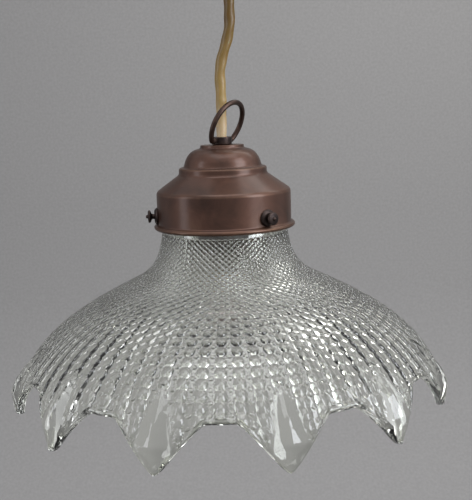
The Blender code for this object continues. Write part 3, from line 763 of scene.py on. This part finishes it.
def bail():
    """A loop of round wire, its ends turned in to the collar."""
    pivot = Vector((0, 0, BAIL_PIVOT + RIM_Z))
    turn = Quaternion((0, 0, 1), BAIL_AZIMUTH) @ Quaternion((1, 0, 0), BAIL_LEAN)
    rise, foot, steps = 10.4, radians(43.5), 56
    points = [Vector((4.8, 0, 0)), Vector((7.0, 0, 0)), Vector((8.6, 0, 0)), Vector((10.0, 0, 0.1))]
    for step in range(steps + 1):
        angle = -foot + (pi + 2 * foot) * step / steps
        points.append(Vector((BAIL_RADIUS * cos(angle), 0, rise + BAIL_RADIUS * sin(angle))))
    points += [Vector((-point.x, 0, point.z)) for point in reversed(points[:4])]
    curve = bpy.data.curves.new("bail", "CURVE")
    curve.dimensions = "3D"
    curve.bevel_depth = BAIL_WIRE * MM
    curve.bevel_resolution = 6
    curve.use_fill_caps = True
    spline = curve.splines.new("POLY")
    spline.points.add(len(points) - 1)
    for place, (target, point) in enumerate(zip(spline.points, points)):
        target.co = (*((pivot + turn @ point) * MM), 1)
        target.radius = BAIL_END if place in (0, 1, len(points) - 2, len(points) - 1) else 1.0
    piece = bpy.data.objects.new("bail", curve)
    bpy.context.scene.collection.objects.link(piece)
    select_only(piece)
    bpy.ops.object.convert(target="MESH")
    piece = bpy.context.object
    face_out(piece, merge=0.01 * MM)
    bpy.ops.object.shade_smooth_by_angle(angle=radians(50))
    mark_worn(piece)
    settle(piece, "bail", "blackened_brass", "ring_bail")


gallery()
collar()
bail()


# Thumbscrews

SCREW_AZIMUTHS = (38, 158, -82)  # degrees
SCREW_HEIGHT = 7.1
GALLERY_RADIUS = 42.2


def thumbscrews():
    """Three turned bosses on the gallery's wall with a screw in each. Heights are measured from the wall."""
    boss = [(1.95, 1.9), (3.6, 1.9), (4.7, 1.3), (5.3, 0.5), (5.3, 0.1), (1.95, 0.1)]
    screw = [(0, 7.3), (0.9, 7.1), (1.2, 6.1), (3.3, 5.9), (3.9, 5.5), (4.0, 4.9), (3.4, 4.2), (1.9, 3.7)]
    screw += [(1.6, 3.0), (1.6, -3.6), (1.1, -3.9), (0, -3.9)]
    for number, azimuth in enumerate(SCREW_AZIMUTHS, 1):
        direction = outward(radians(azimuth))
        base = direction * GALLERY_RADIUS + Vector((0, 0, SCREW_HEIGHT + RIM_Z))
        piece = turned(f"boss_{number}", boss, 48, 0.35, base, direction)
        settle(piece, "pendant", "blackened_brass", f"screw_boss_{number}")
        piece = turned(f"thumb_{number}", screw, 40, 0.25, base, direction)
        settle(piece, f"screw_{number}", "blackened_brass", f"thumbscrew_{number}")


thumbscrews()


# Ceiling rose

ROSE_WALL = 43.5  # radius


def ceiling_rose():
    """The spun cover with a screw at each side, and the cord grip under it, whose screw pinches the flex."""
    outer = [
        (44.8, -0.4), (45.2, -1.2), (ROSE_WALL, -2.4), (ROSE_WALL, -10.4), (42.6, -11.8), (28.4, -20.6),
        (28.0, -23.8), (25.0, -24.1), (23.2, -28.2), (18.6, -31.6), (12.5, -33.0), (5.4, -33.0),
    ]  # fmt: skip
    inner = [
        (5.4, -32.0), (12.3, -32.0), (18.0, -30.7), (22.4, -27.5), (24.2, -23.2), (27.2, -22.9),
        (27.4, -20.0), (41.9, -11.0), (42.5, -10.0), (42.5, -0.4),
    ]  # fmt: skip
    piece = turned("rose_shell", outer + inner, 144, 0.9, base=(ROSE_X, 0, 0))
    settle(piece, "ceiling_rose", "patinated_brass", "rose_cover")
    grip = [(3.8, -22.0), (4.9, -22.0), (4.9, -33.3), (7.5, -33.3), (7.5, -36.0), (6.2, -36.8), (6.2, -42.2)]
    grip += [(4.8, -45.0), (3.8, -45.0)]
    piece = turned("grip", grip, 72, 0.4, base=(ROSE_X, 0, 0))
    settle(piece, "ceiling_rose", "patinated_brass", "cord_grip")
    head = [(0, 2.5), (1.9, 2.3), (2.4, 1.7), (2.4, 0.4), (1.2, 0.4), (1.2, -2.4), (0, -2.4)]
    piece = turned("grip_pinch_screw", head, 32, 0.3, base=(ROSE_X + 6.2, 0, -39.4), direction=(1, 0, 0))
    settle(piece, "ceiling_rose", "blackened_brass", "grip_screw")
    head = [(0, 3.0), (1.8, 2.6), (3.0, 1.4), (3.2, 0.4), (1.6, 0.4), (1.6, -4.6), (0, -4.6)]
    for name, side in (("left", -1), ("right", 1)):
        base = (ROSE_X + side * ROSE_WALL, 0, -8.0)
        piece = turned(f"rose_screw_{name}", head, 40, 0.3, base, (side, 0, 0))
        settle(piece, "ceiling_rose", "blackened_brass", f"cover_screw_{name}")


ceiling_rose()


# Lampholder


def lampholder():
    """The parts that show from below: the moulded skirt and the screw shell with its rolled thread."""
    skirt = [(14.7, 21.9), (15.9, 21.9), (15.9, 16.7), (17.6, 16.7), (17.6, 13.0), (17.1, 12.6), (17.1, 11.8)]
    skirt += [(17.6, 11.4), (17.6, -14.6), (16.8, -16.0), (14.9, -16.0), (14.7, -15.4)]
    piece = turned("holder_sleeve", lamp(skirt), 96, 0.5)
    settle(piece, "pendant", "bakelite", "holder_skirt")
    thread_pitch, thread_depth, thread_top, thread_end = 3.6, 0.7, 9.0, -11.5
    wall = np.linspace(thread_top, thread_end, 48)
    outline = [(8.0, 11.7), (14.0, 11.7), *[(14.0, z) for z in wall], (14.0, -13.0), (13.4, -13.0)]
    outline += [*[(13.4, z) for z in wall[::-1]], (13.4, 11.1), (8.0, 11.1)]
    piece = turned("holder_thread", lamp(outline), 96, 0.01)
    for vertex in piece.data.vertices:
        height = vertex.co.z / MM - RIM_Z
        if thread_end - 0.1 < height < thread_top + 0.1:
            azimuth = np.arctan2(vertex.co.y, vertex.co.x)
            wave = cos(2 * pi * height / thread_pitch - azimuth)
            fade = min(1.0, (thread_top - height) / 2, (height - thread_end) / 2)
            radius = Vector(vertex.co.xy).length
            grown = radius + (wave - 1) * thread_depth / 2 * max(fade, 0) * MM
            vertex.co.x *= grown / radius
            vertex.co.y *= grown / radius
    settle(piece, "pendant", "bright_brass", "holder_screw_shell")


lampholder()


# Stage and light


def backdrop():
    """A pale grey wall and floor in one sweep, in matt emulsion whose stipple shows as a faint mottle."""
    material, tree, shader, place = new_material("backdrop")
    speck = add_node(tree, "ShaderNodeTexNoise", {"Vector": place, "Scale": per_metre(8.33), "Detail": 4.0})
    paint = add_node(
        tree,
        "ShaderNodeValToRGB",
        {"Fac": speck.outputs["Fac"]},
        [(0.3, linear("8b8a89")), (0.7, linear("939291"))],
    )
    tree.links.new(paint.outputs["Color"], shader.inputs["Base Color"])
    shader.inputs["Roughness"].default_value = 0.9
    wall_y, wall_top, floor_y, floor_z, sweep, width = 2.4, 2.5, -5.0, -1.5, 0.8, 8.0
    bpy.ops.mesh.primitive_plane_add(size=1)
    wall = bpy.context.object
    wall.name = wall.data.name = "backdrop"
    select_only(wall)
    bpy.ops.object.mode_set(mode="EDIT")
    bpy.ops.mesh.subdivide(number_cuts=40)
    bpy.ops.object.mode_set(mode="OBJECT")
    profile = [(floor_y, floor_z), (wall_y - sweep, floor_z)]
    for angle in np.linspace(0, pi / 2, 13)[1:]:
        profile.append((wall_y - sweep + sweep * sin(angle), floor_z + sweep * (1 - cos(angle))))
    profile.append((wall_y, wall_top))
    ys, zs = np.array(profile).T
    far = np.concatenate([[0], np.cumsum(np.hypot(np.diff(ys), np.diff(zs)))])
    for vertex in wall.data.vertices:
        at = (vertex.co.y + 0.5) * far[-1]
        vertex.co = (vertex.co.x * width, np.interp(at, far, ys), np.interp(at, far, zs))
    bpy.ops.object.shade_smooth()
    wall.data.materials.append(material)


def area_light(name, place, aim, size, power, tint):
    """A soft light of a width and height in metres and a power in watts, aimed at a point."""
    light = bpy.data.lights.new(name, "AREA")
    light.shape = "RECTANGLE"
    light.size, light.size_y = size
    light.energy = power
    light.color = linear(tint)[:3]
    softbox = bpy.data.objects.new(name, light)
    bpy.context.scene.collection.objects.link(softbox)
    softbox.location = place
    softbox.rotation_mode = "QUATERNION"
    softbox.rotation_quaternion = (Vector(aim) - Vector(place)).to_track_quat("-Z", "Y")


def room_light():
    """A plain room all round, darker towards its floor, and brighter towards +X, where its window is."""
    world = bpy.data.worlds.new("room")
    bpy.context.scene.world = world
    world.use_nodes = True
    tree = world.node_tree
    place = add_node(tree, "ShaderNodeTexCoord").outputs["Generated"]
    direction = add_node(tree, "ShaderNodeSeparateXYZ", {0: place})
    whole = {"From Min": -1.0, "From Max": 1.0}
    up = add_node(tree, "ShaderNodeMapRange", {"Value": direction.outputs["Z"], **whole})
    greys = [(0.0, "2c2c2e"), (0.40, "77777a"), (0.47, "929295"), (0.60, "a4a4a7"), (1.0, "cdcdcf")]
    stops = [(position, linear(grey)) for position, grey in greys]
    shade = add_node(tree, "ShaderNodeValToRGB", {"Fac": up.outputs[0]}, stops)
    tree.links.new(shade.outputs["Color"], tree.nodes["Background"].inputs["Color"])
    strength = {"To Min": 1.35, "To Max": 1.85}
    across = add_node(tree, "ShaderNodeMapRange", {"Value": direction.outputs["X"], **whole, **strength})
    tree.links.new(across.outputs[0], tree.nodes["Background"].inputs["Strength"])


backdrop()
room_light()
centre = (0.0, 0.0, RIM_Z * MM)
area_light("overhead", (0.1, -0.3, 1.4), centre, (1.6, 1.2), 16.0, "fbfcff")
area_light("window", (1.3, -0.8, 0.45), centre, (0.8, 1.3), 29.0, "f4f8ff")
area_light("left_fill", (-1.4, -0.5, 0.2), centre, (0.4, 1.2), 6.0, "f7f8ff")
area_light("wall_wash", (0.9, 0.8, 1.0), (0.3, 2.4, -0.5), (1.8, 0.8), 16.0, "fffdf8")
bpy.context.scene.view_settings.view_transform = "Standard"
